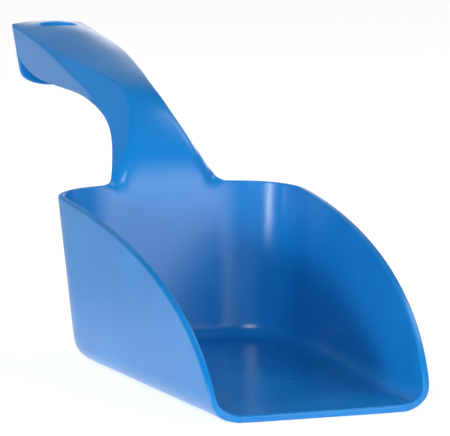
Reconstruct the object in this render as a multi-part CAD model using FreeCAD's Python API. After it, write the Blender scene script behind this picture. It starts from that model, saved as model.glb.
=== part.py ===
import FreeCAD, Part
import math
import os

from FreeCAD import Vector

# Hand scoop in one moulding.  X is the width, -Y the pouring lip, +Y the handle, +Z up.
# It is drawn from the middle of the lip, on the plane the scoop stands on; the finished
# regions are then moved so that the origin is the middle of the floor's underside.

# --- bowl, millimetres and degrees ---
wall = 2.5                  # wall thickness everywhere
floor_length = 171.5        # lip to the foot of the back wall, outside
lip_half_width = 38.6       # outside, at the underside of the floor
back_half_width = 46.0      # outside, at the underside of the floor
rim_height = 63.2
side_flare = 3.6            # lean of the side walls, outwards going up
back_lean = 6.6             # lean of the back wall, rearwards going up
corner_radius = 25.4        # upright rear corners, outside
foot_radius = 8.8           # floor to wall, outside
rim_pull_front = (11.4, 57.3)    # side view of the rim: control point above the lip
rim_pull_back = (147.7, 60.9)    # control point that lays the rim level at the back
lip_setback = 0.7           # the rim curve starts this far behind the lip line

# --- collar where the back wall runs up into the handle ---
collar_radius = 7.5
collar_half_width = 17.0
collar_root = 6.0           # the collar starts this far below the rim

# --- handle ---
inner_turn = 0.4            # inner corner at the top edge, drawn in by this share of the wall
least_step = 0.6            # least height of the channel's sloping shoulder
channel_overrun = 6.0       # the channel is cut this far past the skirt edges
hole_diameter = 15.8        # hanging hole
hole_from_end = 18.5        # hole centre to the end of the handle
end_rise = 7.6              # slope of the top edges at the end, degrees
end_plate_depth = 27.4      # top edge to the lowest point of the plate that closes the end
end_plate_sag = 2.3         # how far the middle of its lower edge hangs below the corners
end_plate_corner = 2.5
end_plate_half_width = 14.0

# --- cutting blocks ---
reach = 40.0                # run this far past the faces they cut
far = 400.0                 # clear of the whole scoop
hair = 0.01                 # tolerance when edges are picked by height

# --- where the one moulding is divided into named regions ---
corner_start = 146.0        # side walls end and rear corners start (Y)
back_wall_half_width = 25.0
neck_end = 205.0            # neck ends and grip starts (Y)
grip_end = 305.0            # grip ends and hanging end starts (Y)

# One row for each cross-section, root to end.  Side view (y, z) of the top edge and of
# the skirt edge, drop from the top edge to the shoulder edge along the section,
# half widths at top edge, shoulder edge and skirt edge, height of the crowned top.
sections = [
    ((175.0, 54.5), (177.7, 54.5), 1.4, (21.6, 21.8, 22.0), 0.3),
    ((176.3, 63.2), (180.9, 62.9), 2.4, (20.4, 21.0, 21.3), 0.3),
    ((177.2, 67.5), (184.6, 67.9), 4.0, (17.6, 18.7, 19.4), 0.3),
    ((181.2, 75.9), (194.0, 76.3), 8.0, (13.3, 15.5, 16.7), 0.3),
    ((187.7, 83.5), (203.2, 82.4), 8.0, (10.2, 12.7, 14.8), 0.4),
    ((198.3, 91.3), (211.4, 86.3), 11.6, (7.5, 13.2, 14.4), 0.5),
    ((214.1, 98.5), (222.8, 89.4), 9.9, (6.3, 13.4, 14.3), 0.6),
    ((229.5, 101.5), (235.1, 91.6), 7.6, (8.2, 13.9, 14.1), 0.8),
    ((244.2, 103.8), (247.4, 93.1), 6.3, (10.1, 14.5, 14.1), 1.1),
    ((266.7, 107.2), (269.0, 94.1), 4.4, (13.0, 15.3, 14.1), 1.8),
    ((288.1, 110.0), (290.5, 94.6), 2.3, (15.0, 15.7, 14.1), 2.6),
    ((313.6, 113.4), (316.4, 96.1), 1.2, (15.7, 16.0, 14.1), 3.5),
    ((334.5, 116.0), (337.5, 99.2), 0.9, (15.8, 16.1, 14.1), 3.0),
    ((351.0, 118.0), (348.0, 104.5), 0.9, (15.8, 16.1, 14.6), 1.2),
]


def upright(point, x=0.0):
    return Vector(x, point[0], point[1])


def bowl_block(inset):
    """Solid block of the bowl, its faces moved inwards by inset."""
    rise = rim_height + reach
    taper = (back_half_width - lip_half_width) / floor_length

    def half_width(y, z):
        slope = math.tan(math.radians(side_flare))
        return lip_half_width + taper * y + slope * z - inset / math.cos(math.radians(side_flare))

    def back(z):
        lean = math.radians(back_lean)
        return floor_length + z * math.tan(lean) - inset / math.cos(lean)

    def plan(z):
        front, rear = half_width(-reach, z), half_width(back(z), z)
        run = [Vector(-front, -reach, z), Vector(front, -reach, z),
               Vector(rear, back(z), z), Vector(-rear, back(z), z)]
        return Part.makePolygon(run + run[:1])

    block = Part.makeLoft([plan(inset), plan(rise)], True, True)
    uprights = [e for e in block.Edges if is_rear_upright(e)]
    block = block.makeFillet(corner_radius - inset, uprights)
    feet = [e for e in block.Edges if is_foot(e, inset)]
    return block.makeFillet(foot_radius - inset, feet)


def is_rear_upright(edge):
    ends = [v.Point for v in edge.Vertexes]
    return abs(ends[0].z - ends[1].z) > rim_height and min(p.y for p in ends) > 0


def is_foot(edge, level):
    extent = edge.BoundBox
    return extent.ZMax < level + hair and extent.YMax > 0


def side_region(edges):
    """Solid made by sweeping a closed side view outline across the whole width."""
    face = Part.Face(Part.Wire(edges))
    face.translate(Vector(-far, 0, 0))
    return face.extrude(Vector(2 * far, 0, 0))


def below_rim():
    """Everything under the rim line, seen from the side."""
    start = (lip_setback, 0.0)
    back_y = floor_length + rim_height * math.tan(math.radians(back_lean))
    curve = Part.BezierCurve()
    poles = [start, rim_pull_front, rim_pull_back, (back_y, rim_height)]
    curve.setPoles([upright(p) for p in poles])
    rear = back_y + reach
    path = [(back_y, rim_height), (rear, rim_height), (rear, -reach), (lip_setback, -reach), start]
    edges = [curve.toShape()]
    edges += [Part.makeLine(upright(a), upright(b)) for a, b in zip(path, path[1:])]
    return side_region(edges)


def collar_outline():
    """Front view of the back wall running up into the handle with a round at each side."""
    low = rim_height - collar_root
    top = rim_height + collar_radius
    outer = collar_half_width + collar_radius
    bend = collar_radius * (1 - math.sqrt(0.5))

    def at(x, z):
        return Vector(x, 0, z)

    edges = [Part.makeLine(at(-collar_half_width, top), at(collar_half_width, top)),
             Part.makeLine(at(-outer, low), at(outer, low))]
    for side in (-1, 1):
        start, end = at(side * outer, rim_height), at(side * collar_half_width, top)
        middle = at(side * (collar_half_width + bend), rim_height + bend)
        edges.append(Part.Arc(start, middle, end).toShape())
        edges.append(Part.makeLine(at(side * outer, low), start))
    face = Part.Face(Part.Wire(Part.__sortEdges__(edges)))
    face.translate(Vector(0, floor_length - reach, 0))
    return face.extrude(Vector(0, 2 * reach, 0))


def make_bowl():
    skin = bowl_block(0.0).cut(bowl_block(wall))
    bowl = skin.common(below_rim())
    collar = skin.common(collar_outline())
    return bowl.fuse(collar)


def section_frame(row):
    top, foot = row[0], row[1]
    down = upright(foot) - upright(top)
    depth = down.Length
    down.normalize()
    return upright(top), down, depth


def outer_wire(row):
    """Closed outline of the handle in one cross-section, solid."""
    origin, down, depth = section_frame(row)
    drop, (top_w, shoulder_w, skirt_w), crown = row[2:]

    def at(x, d):
        return origin + down * d + Vector(x, 0, 0)

    crest = Part.Arc(at(-top_w, 0), at(0, -crown), at(top_w, 0)).toShape()
    run = [at(top_w, 0), at(shoulder_w, drop), at(skirt_w, depth),
           at(-skirt_w, depth), at(-shoulder_w, drop), at(-top_w, 0)]
    return Part.Wire([crest] + [Part.makeLine(a, b) for a, b in zip(run, run[1:])])


def inner_wire(row):
    """Outline of the channel under the handle top, running out past the skirt edge."""
    origin, down, depth = section_frame(row)
    drop, (top_w, shoulder_w, skirt_w), crown = row[2:]
    turn = inner_turn * wall

    def at(x, d):
        return origin + down * d + Vector(x, 0, 0)

    deepest = depth + channel_overrun
    top_in, shoulder_in, skirt_in = top_w - turn, shoulder_w - wall, skirt_w - wall
    shoulder_drop = max(drop + turn, wall + least_step)
    crest = Part.Arc(at(-top_in, wall), at(0, wall - crown), at(top_in, wall)).toShape()
    run = [at(top_in, wall), at(shoulder_in, shoulder_drop), at(skirt_in, deepest),
           at(-skirt_in, deepest), at(-shoulder_in, shoulder_drop), at(-top_in, wall)]
    return Part.Wire([crest] + [Part.makeLine(a, b) for a, b in zip(run, run[1:])])


def end_plate():
    """Plate that closes the end of the handle and hangs below the skirts."""
    origin, down, depth = section_frame(sections[-1])
    drop, (top_w, shoulder_w, skirt_w), crown = sections[-1][2:]
    half, corner = end_plate_half_width, end_plate_corner
    low = end_plate_depth - end_plate_sag
    bend = corner * (1 - math.sqrt(0.5))

    def at(x, d):
        return origin + down * d + Vector(x, 0, 0)

    edges = [Part.Arc(at(-top_w, 0), at(0, -crown), at(top_w, 0)).toShape(),
             Part.Arc(at(corner - half, low), at(0, end_plate_depth), at(half - corner, low)).toShape()]
    for side in (-1, 1):
        run = [at(side * top_w, 0), at(side * shoulder_w, drop), at(side * skirt_w, depth),
               at(side * half, low - corner)]
        edges += [Part.makeLine(a, b) for a, b in zip(run, run[1:])]
        middle = at(side * (half - bend), low - bend)
        edges.append(Part.Arc(run[-1], middle, at(side * (half - corner), low)).toShape())
    face = Part.Face(Part.Wire(Part.__sortEdges__(edges)))
    return face.extrude(Vector(0, -wall, 0))


def make_handle():
    outer = Part.makeLoft([outer_wire(row) for row in sections], True, False)
    inner = Part.makeLoft([inner_wire(row) for row in sections], True, False)
    handle = outer.cut(inner).fuse(end_plate())
    end = upright(sections[-1][0])
    rise = math.radians(end_rise)
    along = Vector(0, math.cos(rise), math.sin(rise))
    normal = Vector(0, -math.sin(rise), math.cos(rise))
    centre = end - along * hole_from_end
    radius = hole_diameter / 2
    drill = Part.makeCylinder(radius, 2 * radius, centre - normal * radius, normal)
    return handle.cut(drill)


def block_between(x_span, y_span, z_span):
    size = [high - low for low, high in (x_span, y_span, z_span)]
    return Part.makeBox(*size, Vector(x_span[0], y_span[0], z_span[0]))


def flat_floor():
    """Upright block over the flat part of the floor, inside the rounded feet."""
    taper = (back_half_width - lip_half_width) / floor_length
    rear = floor_length - foot_radius
    depth = 2 * foot_radius

    def half_width(y):
        return lip_half_width + taper * y - foot_radius

    front_w, rear_w = half_width(-reach), half_width(rear)
    run = [Vector(-front_w, -reach, -foot_radius), Vector(front_w, -reach, -foot_radius),
           Vector(rear_w, rear, -foot_radius), Vector(-rear_w, rear, -foot_radius)]
    block = Part.Face(Part.makePolygon(run + run[:1])).extrude(Vector(0, 0, depth))
    uprights = [e for e in block.Edges if stands_at(e, rear)]
    return block.makeFillet(corner_radius - foot_radius, uprights)


def stands_at(edge, rear):
    ends = [v.Point for v in edge.Vertexes]
    return abs(ends[0].z - ends[1].z) > foot_radius and min(p.y for p in ends) > rear - hair


def split(scoop):
    """The moulding cut into named regions that meet face to face."""
    floor = flat_floor()
    bowl = scoop.common(block_between((-far, far), (-far, far), (-far, rim_height)))
    above = scoop.common(block_between((-far, far), (-far, far), (rim_height, far)))
    walls = bowl.cut(floor)
    side = (-far, corner_start)
    rear = (corner_start, far)
    left = (-far, -back_wall_half_width)
    right = (back_wall_half_width, far)
    middle = (-back_wall_half_width, back_wall_half_width)
    tall = (-far, far)
    return {
        "bowl_floor": bowl.common(floor),
        "bowl_left_wall": walls.common(block_between((-far, 0.0), side, tall)),
        "bowl_right_wall": walls.common(block_between((0.0, far), side, tall)),
        "bowl_left_corner": walls.common(block_between(left, rear, tall)),
        "bowl_right_corner": walls.common(block_between(right, rear, tall)),
        "bowl_back_wall": walls.common(block_between(middle, rear, tall)),
        "handle_neck": above.common(block_between(tall, (-far, neck_end), tall)),
        "handle_grip": above.common(block_between(tall, (neck_end, grip_end), tall)),
        "handle_end": above.common(block_between(tall, (grip_end, far), tall)),
    }


scoop = make_bowl().fuse(make_handle()).removeSplitter()
os.makedirs("parts", exist_ok=True)
for node, shape in split(scoop).items():
    shape.translate(Vector(0, -floor_length / 2, 0))
    shape.exportStep(f"parts/{node}.step")
    bounds = shape.optimalBoundingBox()
    print(node, len(shape.Solids), shape.isValid(), round(shape.Volume), bounds)
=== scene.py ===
import math

import bpy
from mathutils import Matrix, Vector
from mathutils.kdtree import KDTree


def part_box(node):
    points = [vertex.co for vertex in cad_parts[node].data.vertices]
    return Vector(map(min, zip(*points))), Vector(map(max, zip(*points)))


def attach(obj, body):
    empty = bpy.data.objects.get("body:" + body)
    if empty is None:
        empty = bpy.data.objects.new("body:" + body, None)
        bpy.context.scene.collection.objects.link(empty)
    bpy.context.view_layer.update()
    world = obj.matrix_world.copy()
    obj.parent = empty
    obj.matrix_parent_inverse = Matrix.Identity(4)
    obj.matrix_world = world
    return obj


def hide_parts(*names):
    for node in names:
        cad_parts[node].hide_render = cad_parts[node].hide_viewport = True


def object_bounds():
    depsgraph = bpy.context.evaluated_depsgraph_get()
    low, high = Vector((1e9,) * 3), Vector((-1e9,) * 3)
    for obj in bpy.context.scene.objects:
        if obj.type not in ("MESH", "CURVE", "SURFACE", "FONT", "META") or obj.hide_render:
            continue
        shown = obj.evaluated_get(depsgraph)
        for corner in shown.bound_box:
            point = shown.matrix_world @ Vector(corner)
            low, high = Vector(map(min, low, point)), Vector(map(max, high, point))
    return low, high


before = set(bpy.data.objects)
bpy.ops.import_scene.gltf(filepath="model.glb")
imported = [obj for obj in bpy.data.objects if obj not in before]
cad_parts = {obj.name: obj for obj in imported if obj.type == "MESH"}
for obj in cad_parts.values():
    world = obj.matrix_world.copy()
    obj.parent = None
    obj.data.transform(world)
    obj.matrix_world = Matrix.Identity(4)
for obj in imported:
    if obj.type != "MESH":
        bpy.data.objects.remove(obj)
cadLow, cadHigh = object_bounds()
print("frame loaded")

mm = 0.001   # the scoop is drawn in millimetres from its lip, then moved into the frame

bowl = {
    "wall": 2.5,
    "edgeRound": 0.7,          # round on every free edge
    "lipHalfWidth": 38.6,      # outside, at the underside
    "backHalfWidth": 46.0,
    "floorLength": 171.5,
    "sideFlare": 3.6,          # degrees
    "backLean": 6.6,
    "cornerRadius": 25.4,      # outside
    "footRadius": 8.8,
    "rimFront": (11.4, 57.3),  # control points of the rim line in side view
    "rimBack": (147.7, 60.9),
    "lipStart": 0.95,          # where the visible floor starts, from the zero of the drawing
    "frameStart": 0.7,         # where the frame's floor starts
    "rimSteps": 600,
    "lapOnFloor": 8.0,         # how far the wall rows run in over the floor
    "lapMiddle": 0.44,         # share of that lap where its middle row lies
    "bendRows": (0.25, 0.5, 0.75),     # shares of the foot round
    "wallRows": (0.34, 0.68),  # shares of the height from the foot round to the rim rows
    "evenRows": (8.0, 45.0),   # walls shorter than the first have even rows, fading out over the second
    "sideSteps": (0, .012, .026, .042, .062, .09, .13, .18, .25, .34, .44, .55, .67, .79, .9),
    "cornerSteps": 6,
    "backColumns": (18.0, 13.5, 10.2, 6.8, 3.4, 0.0),
    "rimRows": (14.2, 9.0, 4.6, 1.8, 0.0),   # down from the rim
}
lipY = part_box("bowl_floor")[0][1] / mm - bowl["frameStart"]
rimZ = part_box("bowl_back_wall")[1][2] / mm


def mix(a, b, t):
    return a + (b - a) * t


def smooth(t):
    t = max(0.0, min(1.0, t))
    return t * t * (3 - 2 * t)


wall, footRadius, edgeRound = bowl["wall"], bowl["footRadius"], bowl["edgeRound"]
sideSlope = math.tan(math.radians(bowl["sideFlare"]))
backSlope = math.tan(math.radians(bowl["backLean"]))
sideLean, backLean = math.hypot(1, sideSlope), math.hypot(1, backSlope)
taper = (bowl["backHalfWidth"] - bowl["lipHalfWidth"]) / bowl["floorLength"]
cornerY = bowl["floorLength"] - bowl["cornerRadius"] * backLean
cornerX = bowl["lipHalfWidth"] + taper * cornerY - bowl["cornerRadius"] * sideLean
cornerShift = (sideSlope + taper * backSlope, backSlope)   # how the rear corner moves out with height


def wallPoint(a, slope, start, inset):
    # distance out and height, a millimetres up the section from where the floor starts to turn
    radius = footRadius - inset
    turn = math.pi / 2 - math.atan(slope)
    innerBend = (footRadius - wall) * turn   # both skins are stepped by the inner one, so rows pair up
    centreOut = start + slope * footRadius - radius * math.hypot(1, slope)
    if a < 0:
        return centreOut + a, inset
    angle = min(a / innerBend, 1.0) * turn
    up = max(a - innerBend, 0.0) / math.hypot(1, slope)
    return centreOut + radius * math.sin(angle) + up * slope, footRadius - radius * math.cos(angle) + up


def lengthAt(z, slope):
    # how far up the inner skin's section height z is
    radius = footRadius - wall
    turn = math.pi / 2 - math.atan(slope)
    topOfBend = footRadius - radius * math.cos(turn)
    if z <= topOfBend:
        return radius * math.acos(max(-1.0, min(1.0, (footRadius - z) / radius)))
    return radius * turn + (z - topOfBend) * math.hypot(1, slope)


def bezier(points, t):
    s = 1 - t
    weights = (s ** 3, 3 * s * s * t, 3 * s * t * t, t ** 3)
    return Vector([sum(w * p[k] for w, p in zip(weights, points)) for k in (0, 1)])


def rimTable():
    # side view of the rim, set in by the edge round, with the length run so far
    points = [(bowl["lipStart"], 0.0), bowl["rimFront"], bowl["rimBack"],
              (bowl["floorLength"] + rimZ * backSlope, rimZ)]
    count = bowl["rimSteps"]
    line = [bezier(points, k / count) for k in range(count + 1)]
    table, run = [], 0.0
    for here, there in zip(line, line[1:]):
        step = there - here
        if here[1] >= wall:
            inward = edgeRound / step.length
            table.append((run, here[0] + inward * step[1], here[1] - inward * step[0]))
            run += step.length
    return table


rim = rimTable()


def rimAtLength(run):
    for here, there in zip(rim, rim[1:]):
        if there[0] >= run:
            t = (run - here[0]) / (there[0] - here[0])
            return mix(here[1], there[1], t), mix(here[2], there[2], t)
    return rim[-1][1], rim[-1][2]


def rimHeight(y):
    for here, there in zip(rim, rim[1:]):
        if there[1] >= y:
            return mix(here[2], there[2], (y - here[1]) / (there[1] - here[1]))
    return rim[-1][2]


sideRun = next(row[0] for row in rim if row[1] > cornerY + backSlope * rimZ)


def rowLengths(end):
    # lengths up the section at which the rows lie, where the wall ends at length end
    bend = (footRadius - wall) * math.pi / 2
    low = -bowl["lapOnFloor"]
    strip = [end - back for back in bowl["rimRows"]]
    usual = [low, low * bowl["lapMiddle"], 0.0] + [bend * share for share in bowl["bendRows"]] + [bend]
    usual += [mix(bend, strip[0], share) for share in bowl["wallRows"]] + strip
    even = [mix(low, end, k / (len(usual) - 1)) for k in range(len(usual))]
    evenBelow, fade = bowl["evenRows"]
    weight = smooth((end - evenBelow) / fade)
    return [mix(e, u, weight) for e, u in zip(even, usual)]


def sideColumn(step, inset):
    # points up the side wall from the floor to the rim, step from 0 at the lip to 1 at the rear corner
    lip = bowl["lipStart"] + edgeRound
    floorY = mix(lip, cornerY, step)
    rimY, topZ = rimAtLength(step * sideRun)
    end = 0.0 if step == 0 else lengthAt(topZ, sideSlope)
    points = []
    for a in rowLengths(end):
        y = mix(floorY, rimY, (a + bowl["lapOnFloor"]) / (end + bowl["lapOnFloor"]))
        start = bowl["lipHalfWidth"] + taper * y - inset * sideLean
        x, z = wallPoint(a, sideSlope, start, inset)
        points.append(Vector((x, y, z)))
    return points


def cornerColumn(angle, inset):
    # points up the rear corner at this angle round it
    out = (math.cos(angle), math.sin(angle))
    slope = cornerShift[0] * out[0] + cornerShift[1] * out[1]
    slide = [shift - slope * o for shift, o in zip(cornerShift, out)]
    start = (bowl["cornerRadius"] - inset) * math.hypot(1, slope)

    def place(a):
        far, z = wallPoint(a, slope, start, inset)
        return Vector((cornerX + far * out[0] + z * slide[0], cornerY + far * out[1] + z * slide[1], z))

    end = lengthAt(rimZ - edgeRound, slope)
    top = place(end)
    end = lengthAt(min(rimHeight(top.y), rimZ - edgeRound), slope)
    return [place(a) for a in rowLengths(end)]


def backColumn(x, inset):
    # points up the back wall this far from the middle
    end = lengthAt(rimZ - edgeRound, backSlope)
    start = bowl["floorLength"] - inset * backLean
    column = []
    for a in rowLengths(end):
        y, z = wallPoint(a, backSlope, start, inset)
        column.append(Vector((x, y, z)))
    return column


class Cage:
    # control points and faces of one skin of the scoop, x >= 0 only
    def __init__(self):
        self.at, self.points, self.faces, self.regions, self.creases = {}, [], [], [], {}

    def put(self, key, point):
        self.at[key] = len(self.points)
        self.points.append(Vector(point))

    def alias(self, key, other):
        self.at[key] = self.at[other]

    def face(self, region, *keys):
        self.faces.append([self.at[k] for k in keys])
        self.regions.append(region)

    def crease(self, sharpness, *keys):
        for a, b in zip(keys, keys[1:]):
            self.creases[frozenset((self.at[a], self.at[b]))] = sharpness


regionNames = ["floor", "sideWall", "rearCorner", "backWall", "neck", "grip", "hangingEnd"]
floorPart, sidePart, cornerPart, backPart, neckPart, gripPart, endPart = range(7)
floorRows = 2     # rows of the bowl grid that lie on the floor
stripRow = 9      # row where the strip along the rim starts
turnColumn = len(bowl["sideSteps"]) + bowl["cornerSteps"] + 2   # column where that strip turns up


def bowlGrid(cage, inset):
    columns = [sideColumn(step, inset) for step in bowl["sideSteps"]]
    steps = bowl["cornerSteps"]
    columns += [cornerColumn(math.pi / 2 * k / steps, inset) for k in range(steps + 1)]
    columns += [backColumn(x, inset) for x in bowl["backColumns"]]
    lastSide = len(bowl["sideSteps"])
    lastCorner = lastSide + steps
    for i, column in enumerate(columns):
        for r, point in enumerate(column):
            if i == turnColumn - 1 and r > stripRow:
                point = Vector(handle["turnStart"][r - stripRow - 1])
                point.y += wall - inset
            if i < turnColumn or r <= stripRow:
                cage.put(("w", i, r), point)
    return len(columns), len(columns[0]), lastSide, lastCorner


def bowlFaces(cage, counts):
    columns, rows, lastSide, lastCorner = counts
    for i in range(columns - 1):
        for r in range(rows - 1):
            if i >= turnColumn and r >= stripRow:
                continue
            wallPart = sidePart if i < lastSide else cornerPart if i < lastCorner else backPart
            region = floorPart if r < floorRows else wallPart
            cage.face(region, ("w", i, r), ("w", i, r + 1), ("w", i + 1, r + 1), ("w", i + 1, r))


def floorGrid(cage, counts):
    # fills the floor inside the walls' first row, between the lip, the side and the back
    columns, lastSide = counts[0], counts[2]
    turn = lastSide + bowl["cornerSteps"] // 2
    side = [cage.points[cage.at["w", i, 0]] for i in range(turn + 1)]
    rear = [cage.points[cage.at["w", i, 0]] for i in range(columns - 1, turn - 1, -1)]
    across, along = len(rear) - 1, len(side) - 1
    shares = [(p.y - side[0].y) / (side[-1].y - side[0].y) for p in side]
    middle = [Vector((0, mix(side[0].y, rear[0].y, share), p.z)) for p, share in zip(side, shares)]
    lip = [Vector((side[0].x * p.x / rear[-1].x, side[0].y, side[0].z)) for p in rear]
    for u in range(along + 1):
        for v in range(across + 1):
            s, t = u / along, v / across
            if v == across:
                cage.alias(("f", u, v), ("w", u, 0))
            elif u == along:
                cage.alias(("f", u, v), ("w", columns - 1 - v, 0))
            else:
                bilinear = mix(mix(middle[0], side[0], t), mix(middle[-1], side[-1], t), s)
                point = mix(middle[u], side[u], t) + mix(lip[v], rear[v], s) - bilinear
                cage.put(("f", u, v), point)
    for u in range(along):
        for v in range(across):
            cage.face(floorPart, ("f", u, v), ("f", u, v + 1), ("f", u + 1, v + 1), ("f", u + 1, v))


handle = {
    "thickness": 2.5,
    "facePoints": 4,           # control spans from the middle of the top to its edge
    "hole": (332.7, 7.9),      # hanging hole: y, radius
    "holeCollar": 2.3,         # ring of even faces round the hole
    "holeBlock": 11.8,         # sections this near the hole make way for it
    "holeLean": 0.126,         # how far the hole moves back for each millimetre down
    "plateFade": (338.0, 13.0),      # the underside is set in for the end plate from here, over this length
    "plateSetIn": 1.02,        # by this many thicknesses
    "innerTurn": 0.45,         # how far in the underside's top edge lies, in thicknesses
    "innerDrop": 0.7,          # least flat between that edge and the shoulder
    "endDown": (-0.2165, -0.9763),   # direction of the end plate going down, y and z
    "plateRows": (17.6, 21.6, 26.7),
    "plateHalfWidth": (16.1, 0.093),  # at the top, and how fast it narrows
    "plateSag": (2.3, 11.5),   # how far the lower edge has risen at this half width
    "topCrease": 0.55,
    "shoulderCrease": 0.5,
    "endCrease": 0.75,
    # the rim strip beside the handle, and where it turns up: control points out to the free edge
    "turnStart": [(19.0, 175.2, 53.9), (20.2, 175.7, 58.2), (21.3, 176.2, 61.4), (22.3, 176.8, 63.1)],
    "turnUp": [
        [(15.6, 175.2, 53.5), (17.9, 175.8, 58.8), (19.9, 176.8, 62.6), (21.2, 178.5, 64.2)],
        [(13.5, 175.35, 55.0), (15.8, 175.8, 59.0), (18.0, 176.5, 62.8), (19.8, 179.0, 65.3),
         (20.5, 181.5, 66.2)],
        [(13.5, 176.05, 61.0), (16.2, 176.7, 65.0), (17.9, 179.2, 67.8), (18.7, 182.4, 68.9),
         (19.2, 185.2, 69.2)],
        [(13.6, 177.4, 68.0), (15.6, 178.9, 70.9), (16.6, 182.6, 72.5), (17.3, 186.4, 73.0),
         (17.8, 189.6, 73.0)],
    ],
    # from those points to the underside
    "turnUnder": [
        [(0, 2.5, 0), (0, 2.5, 0), (-.3, 2.5, -.3), (-1.0, 2.2, -.7)],
        [(0, 2.5, 0), (0, 2.5, 0), (-.5, 2.5, -.3), (-1.6, 1.6, -1.0), (-2.2, .8, -.8)],
        [(0, 2.45, -.4), (-.6, 2.3, -.6), (-1.6, 1.7, -1.0), (-2.2, .8, -.6), (-2.5, 0, 0)],
        [(0, 2.2, -1.1), (-1.4, 1.8, -1.0), (-2.2, .8, -.6), (-2.45, .2, -.2), (-2.5, 0, 0)],
    ],
    # top edge, shoulder edge and skirt edge as (half width, y, z), and the crown of the top
    "sections": [
        [(13.4, 180.8, 75.7), (15.2, 188.7, 76.5), (16.6, 194.6, 76.9), 0.3],
        [(10.4, 187.3, 83.2), (12.7, 195.5, 83.1), (14.9, 203.0, 82.3), 0.4],
        [(8.0, 196.0, 90.0), (12.8, 206.4, 87.0), (14.4, 210.4, 85.8), 0.5],
        [(6.5, 206.0, 95.7), (13.3, 215.0, 89.4), (14.3, 217.4, 88.0), 0.6],
        [(6.4, 216.0, 98.9), (13.4, 221.8, 91.5), (14.2, 224.3, 89.6), 0.6],
        [(8.2, 229.5, 101.5), (13.9, 233.2, 94.8), (14.1, 235.4, 91.6), 0.8],
        [(10.1, 244.2, 103.8), (14.5, 246.0, 98.0), (14.1, 247.4, 93.1), 1.1],
        [(12.0, 259.0, 106.0), (15.1, 259.9, 101.2), (14.1, 261.0, 93.8), 1.5],
        [(13.8, 274.0, 108.2), (15.4, 274.6, 104.6), (14.1, 276.0, 94.2), 2.0],
        [(15.1, 289.0, 110.1), (15.7, 289.4, 108.0), (14.1, 290.5, 94.6), 2.6],
        [(15.6, 303.0, 111.9), (15.9, 303.3, 110.6), (14.1, 305.0, 95.3), 3.2],
        [(15.7, 313.0, 113.2), (16.0, 313.2, 112.3), (14.1, 315.0, 96.0), 3.5],
        [(15.8, 321.0, 114.2), (16.1, 321.1, 113.4), (14.1, 323.2, 96.9), 3.5],
        [(15.8, 324.9, 114.7), (16.1, 325.0, 113.9), (14.1, 327.1, 97.6), 3.4],
        [(15.8, 328.8, 115.2), (16.1, 328.9, 114.4), (14.1, 331.0, 98.3), 3.3],
        [(15.8, 332.7, 115.7), (16.1, 332.8, 114.9), (14.1, 334.8, 99.1), 3.1],
        [(15.8, 336.6, 116.2), (16.1, 336.7, 115.4), (14.1, 338.5, 100.0), 2.8],
        [(15.8, 340.5, 116.7), (16.1, 340.5, 115.9), (14.2, 341.9, 101.1), 2.4],
        [(15.8, 344.4, 117.2), (16.1, 344.4, 116.4), (14.3, 344.7, 102.5), 1.9],
        [(15.8, 348.0, 117.6), (16.1, 348.0, 116.8), (14.5, 346.7, 103.7), 1.5],
        [(15.8, 351.0, 118.0), (16.1, 350.8, 117.2), (14.7, 348.2, 104.6), 1.2],
    ],
    "shareOfSide": (0.5, 1.0, 1.62, 2.0),   # side rows: 1 is the shoulder edge, 2 the skirt edge
    "topCreaseFrom": 2,        # sections along from the neck at which each crease starts
    "shoulderCreaseFrom": 4,
    "neckEnd": 200.0,
    "gripEnd": 303.0,
}
spans = handle["facePoints"]
sideRows = len(handle["shareOfSide"])


def sectionPoints(section, under):
    # points across one section, from the middle of the top to the skirt edge
    edge, shoulder, skirt, crown = [Vector(p) for p in section[:3]] + [section[3]]
    down = Vector((0, skirt.y - edge.y, skirt.z - edge.z)).normalized()
    thick = handle["thickness"]
    skirt = mix(skirt, shoulder, edgeRound / (skirt - shoulder).length)
    if under:
        turn = handle["innerTurn"] * thick
        low = max(turn, thick + handle["innerDrop"] - (shoulder - edge).dot(down))
        edge = Vector((edge.x - turn, edge.y, edge.z)) + down * thick
        shoulder = Vector((shoulder.x - thick, shoulder.y, shoulder.z)) + down * low
        skirt = Vector((skirt.x - thick, skirt.y, skirt.z))
    face = []
    for j in range(spans + 1):
        t = j / spans
        face.append(Vector((edge.x * t, edge.y, edge.z)) - down * (crown * (1 - t * t)))
    strip = []
    for share in handle["shareOfSide"]:
        strip.append(mix(edge, shoulder, share) if share <= 1 else mix(shoulder, skirt, share - 1))
    return face + strip


plateShift = -handle["thickness"] * handle["plateSetIn"]


def endShift(y, under):
    # the underside stops short of the end by the thickness of the end plate
    start, length = handle["plateFade"]
    return plateShift * smooth((y - start) / length) if under else 0.0


def turnGrid(cage, counts, under):
    # where the rim strip turns up out of the bowl into the handle
    columns = counts[0]
    for j in range(spans + 1):
        cage.alias(("h", 0, j), ("w", columns - 1 - j, stripRow))
    for m, (row, shifts) in enumerate(zip(handle["turnUp"], handle["turnUnder"])):
        points = [Vector(p) + (Vector(s) if under else Vector()) for p, s in zip(row, shifts)]
        if m == 0:
            for k, point in enumerate(points):
                cage.put(("w", turnColumn, stripRow + 1 + k), point)
                cage.alias(("h", 0, spans + 1 + k), ("w", turnColumn, stripRow + 1 + k))
            continue
        for j in range(spans):
            cage.put(("h", m, j), (points[0].x * j / spans, points[0].y, points[0].z))
        for k, point in enumerate(points):
            cage.put(("h", m, spans + k), point)


def handleGrid(cage, under):
    first = len(handle["turnUp"])
    holeY = handle["hole"][0]
    block = [m for m, s in enumerate(handle["sections"]) if abs(s[0][1] - holeY) < handle["holeBlock"]]
    for n, section in enumerate(handle["sections"]):
        points = sectionPoints(section, under)
        inside = n in block[1:-1]
        for j, point in enumerate(points):
            if inside and j < spans - 1:
                continue
            point.y += endShift(section[0][1], under)
            cage.put(("h", first + n, j), point)
    return first, block


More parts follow.
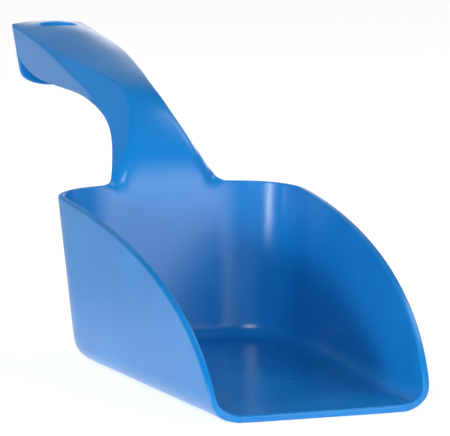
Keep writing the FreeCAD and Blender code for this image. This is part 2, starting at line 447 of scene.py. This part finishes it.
def topHeight(x, y, under):
    # height of the crowned top over the hanging end
    sections = handle["sections"]
    for here, there in zip(sections, sections[1:]):
        if there[0][1] >= y:
            break
    t = (y - here[0][1]) / (there[0][1] - here[0][1])
    half, edgeZ = mix(here[0][0], there[0][0], t), mix(here[0][2], there[0][2], t)
    crown = mix(here[3], there[3], t)
    return edgeZ + crown * (1 - (x / half) ** 2) - (handle["thickness"] if under else 0.0)


def handleFaces(cage, first, block):
    total = first + len(handle["sections"])
    for m in range(total - 1):
        region = neckPart
        if m >= first:
            y = handle["sections"][m - first][0][1]
            beyondNeck = gripPart if y < handle["gripEnd"] else endPart
            region = neckPart if y < handle["neckEnd"] else beyondNeck
        inBlock = block[0] <= m - first < block[-1]
        for j in range(spans + sideRows):
            if inBlock and j < spans - 1:
                continue
            cage.face(region, ("h", m, j), ("h", m, j + 1), ("h", m + 1, j + 1), ("h", m + 1, j))
        shoulder = spans + 1 + handle["shareOfSide"].index(1.0)
        if m >= first + handle["topCreaseFrom"]:
            cage.crease(handle["topCrease"], ("h", m, spans), ("h", m + 1, spans))
        if m >= first + handle["shoulderCreaseFrom"]:
            cage.crease(handle["shoulderCrease"], ("h", m, shoulder), ("h", m + 1, shoulder))
    last = total - 1
    cage.crease(handle["endCrease"], *[("h", last, j) for j in range(spans + sideRows + 1)])
    return last


def holeRing(cage, first, block, under):
    # two rings of points close the top in round the hanging hole
    low, high = first + block[0], first + block[-1]
    outer = [("h", low, j) for j in range(spans - 1)]
    outer += [("h", m, spans - 1) for m in range(low, high + 1)]
    outer += [("h", high, j) for j in range(spans - 2, -1, -1)]
    holeY, holeRadius = handle["hole"]
    lean = handle["holeLean"] * handle["thickness"] if under else 0.0
    loops = [outer]
    for name, radius in (("wide", holeRadius + handle["holeCollar"]), ("edge", holeRadius + edgeRound)):
        keys = []
        for k in range(len(outer)):
            angle = math.pi * (k / (len(outer) - 1) - 0.5)
            x, y = radius * math.cos(angle), holeY + lean + radius * math.sin(angle)
            if k in (0, len(outer) - 1):
                x = 0.0
            key = (name, k)
            cage.put(key, (x, y, topHeight(x, y, under)))
            keys.append(key)
        loops.append(keys)
    for big, small in zip(loops, loops[1:]):
        for k in range(len(outer) - 1):
            cage.face(endPart, big[k], big[k + 1], small[k + 1], small[k])


def platePoint(t, row, under):
    # a point of the end plate below the handle's end, t from the middle to the side
    down = Vector((0, *handle["endDown"]))
    edge = Vector(handle["sections"][-1][0])
    depth = handle["plateRows"][row]
    top, narrowing = handle["plateHalfWidth"]
    half = top - narrowing * depth - edgeRound
    if row == len(handle["plateRows"]) - 1:
        corner = edgeRound if t == 1 else 0.0
        half -= corner
        sag, reached = handle["plateSag"]
        depth -= sag * (half * t / reached) ** 2 + corner
    shift = Vector((0, plateShift, 0)) if under else Vector()
    return Vector((half * t, edge.y, edge.z)) + down * depth + shift


def endPlate(cage, last, under):
    crown = handle["sections"][-1][3]
    corner = [cage.points[cage.at["h", last, spans + s]] for s in range(sideRows + 1)]
    rows = sideRows + len(handle["plateRows"])
    for j in range(spans):
        t = j / spans
        cage.alias(("p", j, 0), ("h", last, j))
        for s in range(1, sideRows + 1):
            lift = crown * (1 - t * t) * (1 - s / sideRows)
            cage.put(("p", j, s), (corner[s].x * t, corner[s].y, corner[s].z + lift))
        for s in range(sideRows + 1, rows + 1):
            cage.put(("p", j, s), platePoint(t, s - sideRows - 1, under))
    for s in range(sideRows + 1):
        cage.alias(("p", spans, s), ("h", last, spans + s))
    for s in range(sideRows + 1, rows + 1):
        cage.put(("p", spans, s), platePoint(1, s - sideRows - 1, under))
    for j in range(spans):
        for s in range(rows):
            cage.face(endPart, ("p", j, s), ("p", j + 1, s), ("p", j + 1, s + 1), ("p", j, s + 1))


def buildCage(under):
    cage = Cage()
    inset = 0.0 if under else wall
    counts = bowlGrid(cage, inset)
    turnGrid(cage, counts, under)
    first, block = handleGrid(cage, under)
    bowlFaces(cage, counts)
    floorGrid(cage, counts)
    last = handleFaces(cage, first, block)
    holeRing(cage, first, block, under)
    endPlate(cage, last, under)
    return cage


sheet = {
    "levels": 2,
    "mergeAtMiddle": 0.001,    # mm
    "rimAngles": (30, 60, 90),  # steps of the round from each skin to the middle of a free edge
}
rimCount = 2 * len(sheet["rimAngles"])


def subdivided(cage, name):
    mesh = bpy.data.meshes.new(name)
    mesh.from_pydata([tuple(p) for p in cage.points], [], cage.faces)
    for region in regionNames:
        mesh.materials.append(None)
    for polygon, region in zip(mesh.polygons, cage.regions):
        polygon.material_index = region
    creases = mesh.attributes.new("crease_edge", "FLOAT", "EDGE")
    sharpness = [cage.creases.get(frozenset(edge.vertices), 0.0) for edge in mesh.edges]
    creases.data.foreach_set("value", sharpness)
    cageObject = bpy.data.objects.new(name, mesh)
    bpy.context.scene.collection.objects.link(cageObject)
    mirror = cageObject.modifiers.new("mirror", "MIRROR")
    mirror.use_clip = True
    mirror.merge_threshold = sheet["mergeAtMiddle"]
    surface = cageObject.modifiers.new("smooth", "SUBSURF")
    surface.levels = surface.render_levels = sheet["levels"]
    surface.boundary_smooth = "ALL"
    evaluated = cageObject.evaluated_get(bpy.context.evaluated_depsgraph_get())
    result = bpy.data.meshes.new_from_object(evaluated)
    bpy.data.objects.remove(cageObject)
    return result


topSkin = subdivided(buildCage(False), "topCage")
underSkin = subdivided(buildCage(True), "underCage")
print("skins", len(topSkin.vertices), len(underSkin.vertices), len(topSkin.polygons))


def edgeFrames(mesh, normals):
    # the faces at each edge, and the direction out of the sheet at each vertex of a free edge
    facesAt, out = {}, {}
    for polygon in mesh.polygons:
        corners = list(polygon.vertices)
        for a, b in zip(corners, corners[1:] + corners[:1]):
            facesAt.setdefault((min(a, b), max(a, b)), []).append((polygon.index, a, b))
    for users in facesAt.values():
        if len(users) == 1:
            face, a, b = users[0]
            along = (mesh.vertices[b].co - mesh.vertices[a].co).normalized()
            for v in (a, b):
                out[v] = out.get(v, Vector()) + along.cross(normals[v])
    return facesAt, {v: o.normalized() for v, o in out.items()}


def rimRound(top, under, outward):
    # points and normals of the round from the top skin to the underside at one vertex of a free edge
    through = (top - under).normalized()
    outward = (outward - through * outward.dot(through)).normalized()
    whole = []
    for side, base in ((1, top), (-1, under)):
        arc = []
        for angle in sheet["rimAngles"]:
            s, c = math.sin(math.radians(angle)), math.cos(math.radians(angle))
            point = base + outward * edgeRound * s - through * side * edgeRound * (1 - c)
            arc.append((point, outward * s + through * side * c))
        whole += arc if side > 0 else arc[::-1]
    return whole


def sheetPoints():
    # every point of the sheet with its normal, the faces at each edge, and the vertices of the free edges
    topNormals = [Vector(n.vector) for n in topSkin.vertex_normals]
    underNormals = [-Vector(n.vector) for n in underSkin.vertex_normals]
    facesAt, out = edgeFrames(topSkin, topNormals)
    placed = {}
    for v in range(len(topSkin.vertices)):
        placed["top", v] = topSkin.vertices[v].co.copy(), topNormals[v]
        placed["under", v] = underSkin.vertices[v].co.copy(), underNormals[v]
    for v, outward in out.items():
        for k, pair in enumerate(rimRound(placed["top", v][0], placed["under", v][0], outward)):
            placed["rim", v, k] = pair
    return placed, facesAt, out


def pieceNames():
    # the piece that each face belongs to
    names = []
    for polygon in topSkin.polygons:
        region = regionNames[polygon.material_index]
        if region in ("sideWall", "rearCorner"):
            side = "left" if polygon.center.x < 0 else "right"
            region = side + region[0].upper() + region[1:]
        names.append(region)
    return names


def edgeTree(placed, out):
    # middles of the free edges, to find how far any point is from one
    tree = KDTree(len(out))
    for v in out:
        tree.insert(mix(placed["rim", v, rimCount // 2 - 1][0], placed["rim", v, rimCount // 2][0], 0.5), v)
    tree.balance()
    return tree


def pieceFaces(name, names, facesAt, out):
    # corners of each face of a piece, and whether it is the flat cut between two pieces
    def chain(v):
        return [("top", v)] + [("rim", v, k) for k in range(rimCount)] + [("under", v)]

    for polygon in topSkin.polygons:
        if names[polygon.index] != name:
            continue
        ring = list(polygon.vertices)
        yield [("top", v) for v in ring], False
        yield [("under", v) for v in reversed(ring)], False
        for a, b in zip(ring, ring[1:] + ring[:1]):
            users = facesAt[min(a, b), max(a, b)]
            if len(users) == 1:
                chainA, chainB = chain(a), chain(b)
                for k in range(rimCount + 1):
                    yield [chainA[k], chainA[k + 1], chainB[k + 1], chainB[k]], False
            elif any(names[face] != name for face, _, _ in users):
                yield [("top", a), ("under", a), ("under", b), ("top", b)], True
                if a in out:
                    yield chain(a), True
                if b in out:
                    yield chain(b)[::-1], True


def buildPieces():
    placed, facesAt, out = sheetPoints()
    names = pieceNames()
    tree = edgeTree(placed, out)
    shift = Vector((0, lipY, 0))
    built = {}
    for name in sorted(set(names)):
        index, points, loops, normals = {}, [], [], []
        for corners, flat in pieceFaces(name, names, facesAt, out):
            for key in corners:
                if key not in index:
                    index[key] = len(points)
                    points.append(placed[key][0])
            loops.append([index[key] for key in corners])
            if flat:
                a, b, c = [placed[key][0] for key in corners[:3]]
                normals += [(b - a).cross(c - a).normalized()] * len(corners)
            else:
                normals += [placed[key][1] for key in corners]
        mesh = bpy.data.meshes.new(name)
        mesh.from_pydata([tuple((p + shift) * mm) for p in points], [], loops)
        mesh.polygons.foreach_set("use_smooth", [True] * len(loops))
        mesh.normals_split_custom_set([tuple(n) for n in normals])
        near = mesh.attributes.new("edgeDistance", "FLOAT", "POINT")
        near.data.foreach_set("value", [tree.find(p)[2] for p in points])
        piece = bpy.data.objects.new(name, mesh)
        bpy.context.scene.collection.objects.link(piece)
        built[name] = piece
    return built


pieces = buildPieces()
print("pieces", {name: len(piece.data.polygons) for name, piece in pieces.items()})

nodeOf = {
    "floor": "bowl_floor",
    "leftSideWall": "bowl_left_wall",
    "rightSideWall": "bowl_right_wall",
    "leftRearCorner": "bowl_left_corner",
    "rightRearCorner": "bowl_right_corner",
    "backWall": "bowl_back_wall",
    "neck": "handle_neck",
    "grip": "handle_grip",
    "hangingEnd": "handle_end",
}


def connect(tree, slot, value):
    if isinstance(value, Shade):
        tree.links.new(value.socket, slot)
    else:
        slot.default_value = value


class Shade:
    # a shader socket that can be used in sums
    def __init__(self, tree, socket):
        self.tree, self.socket = tree, socket

    def math(self, operation, *values):
        node = self.tree.nodes.new("ShaderNodeMath")
        node.operation = operation
        for slot, value in zip(node.inputs, values):
            connect(self.tree, slot, value)
        return Shade(self.tree, node.outputs[0])

    def __add__(self, other):
        return self.math("ADD", self, other)

    def __sub__(self, other):
        return self.math("SUBTRACT", self, other)

    def __rsub__(self, other):
        return self.math("SUBTRACT", other, self)

    def __mul__(self, other):
        return self.math("MULTIPLY", self, other)

    def __pow__(self, other):
        return self.math("POWER", self, other)

    def __lt__(self, other):
        return self.math("LESS_THAN", self, other)

    __radd__, __rmul__ = __add__, __mul__

    def between(self, low, high):
        # 0 below low, 1 above high, smooth between
        return nodeIn(self.tree, "ShaderNodeMapRange", {"interpolation_type": "SMOOTHSTEP"},
                      {"Value": self, "From Min": low, "From Max": high})


def nodeIn(tree, kind, settings, values, output=0):
    node = tree.nodes.new(kind)
    for name, setting in settings.items():
        setattr(node, name, setting)
    for name, value in values.items():
        connect(tree, node.inputs[name], value)
    return Shade(tree, node.outputs[output])


look = {
    "blue": (0.005, 0.180, 0.520, 1),
    "blueLight": (0.008, 0.200, 0.560, 1),
    "gloss": 0.32,
    "roughness": 0.24,
    # each noise is its scale and detail
    "cloudNoise": (26.0, 3.0),       # broad drift of the colour and the gloss
    "cloudRange": (0.3, 0.7),
    "cloudRoughness": 0.10,
    "patchNoise": (110.0, 3.0),      # where edges are worn
    "patchRange": (0.35, 0.65),
    "patchRoughness": 0.08,
    "wornBlue": (0.030, 0.260, 0.600, 1),
    "wornWidth": 0.8,          # mm in from a free edge
    "wornShare": 0.15,
    "wornRoughness": 0.05,
    "peelNoise": (120.0, 1.5),       # faint orange peel left by the mould
    "peelDepth": 0.000035,
    "grainNoise": (1900.0, 2.0),
    "grainDepth": 0.000004,
    "scratchNoise": (1.0, 3.0),
    "scratchStretch": (1500.0, 26.0, 26.0),
    "scratchRange": (0.66, 0.72),
    "scratchShare": 0.02,
    "scratchRoughness": 0.05,
    "scratchDepth": 0.0000006,
    "scratchHeights": (0.0036, 0.006),   # scratches thin out between these heights
    "gateRadii": (0.0034, 0.004),        # round mark where the plastic went into the mould
    "gateDepth": 0.0003,
    "gateBelow": 0.001,
}


def bluePlastic():
    material = bpy.data.materials.new("bluePlastic")
    material.use_nodes = True
    tree = material.node_tree
    shader = tree.nodes["Principled BSDF"]

    def node(kind, settings, values, output=0):
        return nodeIn(tree, kind, settings, values, output)

    def noise(name, place):
        scale, detail = look[name]
        return node("ShaderNodeTexNoise", {}, {"Scale": scale, "Detail": detail, "Vector": place})

    def colourMix(factor, first, second):
        return node("ShaderNodeMix", {"data_type": "RGBA"}, {0: factor, 6: first, 7: second}, 2)

    place = Shade(tree, tree.nodes.new("ShaderNodeTexCoord").outputs["Object"])
    split = tree.nodes.new("ShaderNodeSeparateXYZ")
    connect(tree, split.inputs[0], place)
    x, y, z = [Shade(tree, socket) for socket in split.outputs]

    cloud = noise("cloudNoise", place)
    grain = noise("grainNoise", place)
    peel = noise("peelNoise", place)
    patch = noise("patchNoise", place)

    edge = node("ShaderNodeAttribute", {"attribute_name": "edgeDistance"}, {}, 2)
    worn = (1.0 - edge.between(0.0, look["wornWidth"])) * patch.between(*look["patchRange"])

    stretched = node("ShaderNodeVectorMath", {"operation": "MULTIPLY"}, {0: place, 1: look["scratchStretch"]})
    onFloor = 1.0 - z.between(*look["scratchHeights"])
    scratch = noise("scratchNoise", stretched).between(*look["scratchRange"]) * onFloor

    fromGate = (x * x + y * y) ** 0.5
    gate = (1.0 - fromGate.between(*look["gateRadii"])) * (z < look["gateBelow"])

    colour = colourMix(cloud.between(*look["cloudRange"]), look["blue"], look["blueLight"])
    paler = worn * look["wornShare"] + scratch * look["scratchShare"]
    colour = colourMix(paler, colour, look["wornBlue"])
    connect(tree, shader.inputs["Base Color"], colour)
    roughness = (look["roughness"] + (cloud - 0.5) * look["cloudRoughness"] + worn * look["wornRoughness"]
                 + scratch * look["scratchRoughness"] + (patch - 0.5) * look["patchRoughness"])
    connect(tree, shader.inputs["Roughness"], roughness)

    height = (peel * look["peelDepth"] + grain * look["grainDepth"] - scratch * look["scratchDepth"]
              + gate * look["gateDepth"])
    bump = node("ShaderNodeBump", {}, {"Height": height, "Distance": 1.0, "Strength": 1.0})
    connect(tree, shader.inputs["Normal"], bump)
    shader.inputs["Specular IOR Level"].default_value = look["gloss"]
    return material


plastic = bluePlastic()
print("plastic ready")

for name, piece in pieces.items():
    piece.data.materials.append(plastic)
    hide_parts(nodeOf[name])
    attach(piece, "root")

studio = {
    "floorSize": 12.0,
    "floorGap": 0.0002,        # below the scoop
    "floorColour": (0.5, 0.5, 0.5, 1),
    "floorRoughness": 0.9,
    "floorGlow": 0.74,
    "paintedShadeFrom": (-0.083, -0.029),    # painted shade: the floor's glow is dimmed to the left of a line through this point, standing in for light falling off there
    "paintedShadeAngle": 14.0,         # degrees from straight back
    "paintedShadeWidth": 0.10,
    "paintedShadeDepth": 0.65,
    "backdrop": 1.8,           # brightness behind the scoop, low down, to the right
    "backdropLeft": 0.2,
    "ceiling": 0.30,           # behind and higher up
    "overhead": 0.05,
    "front": 0.55,             # low down on the camera's side
    "lowBand": (0.14, 0.34),   # heights between which the backdrop gives way to the ceiling
    "topBand": (0.56, 0.63),   # and the ceiling to the dark overhead
    "frontBand": (0.1, 0.5),   # heights at which the front fades out
    "leftToRight": (-0.25, 0.12),
    "frontToRear": (-0.2, 0.3),
    # soft glows: azimuth and elevation in degrees, tightness, brightness
    "glows": {
        "front": (20.0, 13.0, 24.0, 6.0),
        "left": (-72.0, 13.0, 240.0, 60.0),
    },
    # azimuth and elevation in degrees, distance, width, height, watts
    "lamps": {
        "keyBox": (-38.0, 32.0, 2.2, 0.8, 0.8, 19.0),
        "rightBox": (100.0, 55.0, 1.8, 1.0, 0.8, 9.0),
    },
}


def direction(azimuth, elevation):
    a, e = math.radians(azimuth), math.radians(elevation)
    return Vector((math.sin(a) * math.cos(e), -math.cos(a) * math.cos(e), math.sin(e)))


def addFloor():
    half = studio["floorSize"] / 2
    mesh = bpy.data.meshes.new("paleFloor")
    z = cadLow[2] - studio["floorGap"]
    corners = [(-half, -half, z), (half, -half, z), (half, half, z), (-half, half, z)]
    mesh.from_pydata(corners, [], [(0, 1, 2, 3)])
    floor = bpy.data.objects.new("paleFloor", mesh)
    bpy.context.scene.collection.objects.link(floor)
    pale = bpy.data.materials.new("palePaper")
    pale.use_nodes = True
    tree = pale.node_tree
    shader = tree.nodes["Principled BSDF"]
    split = tree.nodes.new("ShaderNodeSeparateXYZ")
    connect(tree, split.inputs[0], Shade(tree, tree.nodes.new("ShaderNodeTexCoord").outputs["Object"]))
    x, y = Shade(tree, split.outputs[0]), Shade(tree, split.outputs[1])
    (startX, startY), angle = studio["paintedShadeFrom"], math.radians(studio["paintedShadeAngle"])
    leftOfLine = (y - startY) * math.sin(angle) - (x - startX) * math.cos(angle)
    # painted shade: the floor's glow is darkened to the left of the line, as if less light fell there
    glow = 1.0 - leftOfLine.between(0.0, studio["paintedShadeWidth"]) * studio["paintedShadeDepth"]
    shader.inputs["Base Color"].default_value = studio["floorColour"]
    shader.inputs["Roughness"].default_value = studio["floorRoughness"]
    connect(tree, shader.inputs["Emission Color"], glow)
    shader.inputs["Emission Strength"].default_value = studio["floorGlow"]
    mesh.materials.append(pale)


def addWorld():
    # bright behind the scoop near the horizon, dark overhead, a soft glow on the camera's side
    world = bpy.data.worlds.new("studioWorld")
    world.use_nodes = True
    tree = world.node_tree
    place = Shade(tree, tree.nodes.new("ShaderNodeTexCoord").outputs["Generated"])
    split = tree.nodes.new("ShaderNodeSeparateXYZ")
    connect(tree, split.inputs[0], place)
    x, y, z = [Shade(tree, socket) for socket in split.outputs]
    low, belowTop = 1.0 - z.between(*studio["lowBand"]), 1.0 - z.between(*studio["topBand"])
    toRight, toRear = x.between(*studio["leftToRight"]), y.between(*studio["frontToRear"])
    ceiling, overhead = studio["ceiling"], studio["overhead"]
    backdrop = toRight * (studio["backdrop"] - studio["backdropLeft"]) + studio["backdropLeft"]
    rear = low * (backdrop - ceiling) + belowTop * (ceiling - overhead) + overhead
    front = (1.0 - z.between(*studio["frontBand"])) * (studio["front"] - overhead) + overhead
    strength = front + toRear * (rear - front)
    for azimuth, elevation, tightness, brightness in studio["glows"].values():
        toward = direction(azimuth, elevation)
        facing = x * toward.x + y * toward.y + z * toward.z
        facing = facing.math("MAXIMUM", facing, 0.0)
        strength = strength + facing ** tightness * brightness
    background = tree.nodes["Background"]
    background.inputs["Color"].default_value = (1, 1, 1, 1)
    connect(tree, background.inputs["Strength"], strength)
    bpy.context.scene.world = world
    bpy.context.scene.view_settings.view_transform = "Standard"


def addLamps():
    aim = Vector(camera["lookAt"])
    for name, (azimuth, elevation, distance, width, height, watts) in studio["lamps"].items():
        back = direction(azimuth, elevation)
        data = bpy.data.lights.new(name, "AREA")
        data.shape, data.size, data.size_y, data.energy = "RECTANGLE", width, height, watts
        lamp = bpy.data.objects.new(name, data)
        bpy.context.scene.collection.objects.link(lamp)
        turn = back.to_track_quat("Z", "Y").to_matrix().to_4x4()
        lamp.matrix_world = Matrix.Translation(aim + back * distance) @ turn


camera = {
    "azimuth": -18.28,
    "elevation": 6.28,
    "roll": -0.57,
    "distance": 1.0694,
    "lookAt": (-0.00744, -0.00393, 0.05931),
    "lens": 240.0,
    "sensorWidth": 36.0,
    "clipEnd": 50.0,
}


def addCamera():
    data = bpy.data.cameras.new("camera")
    data.lens = camera["lens"]
    data.sensor_width = camera["sensorWidth"]
    data.clip_end = camera["clipEnd"]
    eye = bpy.data.objects.new("camera", data)
    bpy.context.scene.collection.objects.link(eye)
    back = direction(camera["azimuth"], camera["elevation"])
    r = math.radians(camera["roll"])
    right = Vector((0, 0, 1)).cross(back).normalized()
    up = back.cross(right)
    right, up = right * math.cos(r) + up * math.sin(r), up * math.cos(r) - right * math.sin(r)
    turn = Matrix((right, up, back)).transposed().to_4x4()
    eye.matrix_world = Matrix.Translation(Vector(camera["lookAt"]) + back * camera["distance"]) @ turn
    bpy.context.scene.camera = eye


addFloor()
addWorld()
addLamps()
addCamera()
print("studio ready")
